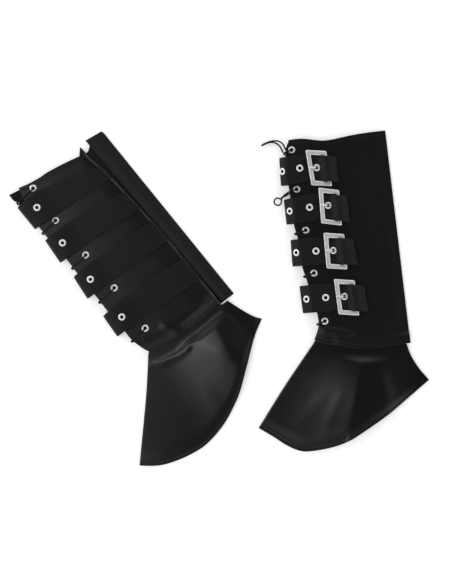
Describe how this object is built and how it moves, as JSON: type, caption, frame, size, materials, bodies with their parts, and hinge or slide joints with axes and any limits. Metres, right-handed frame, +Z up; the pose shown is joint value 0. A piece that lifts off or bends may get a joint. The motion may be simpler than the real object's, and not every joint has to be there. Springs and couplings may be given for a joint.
{
  "type": "pair of boot covers",
  "caption": "Pair of strapped and buckled boot covers in black imitation leather, laid flat with one outer and one inner side up.",
  "frame": {"origin": "centre of the laid-out pair's box, on the surface that it lies on", "axes": "+X to the picture's right, +Y to the picture's top, towards the upper ends of the shafts, +Z up from the surface towards the camera"},
  "size_m": [0.581, 0.4638, 0.0191],
  "materials": {
    "leather": "smooth black imitation leather, satin",
    "glossy_leather": "smooth black imitation leather with a soft gloss",
    "lace": "black woven cord, matt",
    "steel": "satin nickel-plated steel"
  },
  "bodies": {
    "root": {"left_buckle_1": "steel", "left_buckle_2": "steel", "left_buckle_3": "steel", "left_buckle_4": "steel", "left_chape_1": "leather", "left_chape_2": "leather", "left_chape_3": "leather", "left_chape_4": "leather", "left_closure": "leather", "left_eyelet_1_1": "steel", "left_eyelet_1_2": "steel", "left_eyelet_1_3": "steel", "left_eyelet_2_1": "steel", "left_eyelet_2_2": "steel", "left_eyelet_2_3": "steel", "left_eyelet_3_1": "steel", "left_eyelet_3_2": "steel", "left_eyelet_3_3": "steel", "left_eyelet_4_1": "steel", "left_eyelet_4_2": "steel", "left_eyelet_4_3": "steel", "left_foot": "glossy_leather", "left_lace": "lace", "left_lace_end_a": "lace", "left_lace_end_b": "lace", "left_lacing_eyelet_1": "steel", "left_lacing_eyelet_2": "steel", "left_lacing_eyelet_3": "steel", "left_lacing_eyelet_4": "steel", "left_lacing_eyelet_5": "steel", "left_prong_1": "steel", "left_prong_2": "steel", "left_prong_3": "steel", "left_prong_4": "steel", "left_shaft_inner": "leather", "left_shaft_outer": "leather", "left_strap_1": "leather", "left_strap_2": "leather", "left_strap_3": "leather", "left_strap_4": "leather", "right_closure": "leather", "right_eyelet_1_1": "steel", "right_eyelet_2_1": "steel", "right_eyelet_3_1": "steel", "right_eyelet_4_1": "steel", "right_foot": "glossy_leather", "right_lace": "lace", "right_lacing_eyelet_1": "steel", "right_lacing_eyelet_2": "steel", "right_lacing_eyelet_3": "steel", "right_lacing_eyelet_4": "steel", "right_lacing_eyelet_5": "steel", "right_shaft_inner": "leather", "right_shaft_outer": "leather", "right_strap_1": "leather", "right_strap_2": "leather", "right_strap_3": "leather", "right_strap_4": "leather"}
  },
  "joints": []
}
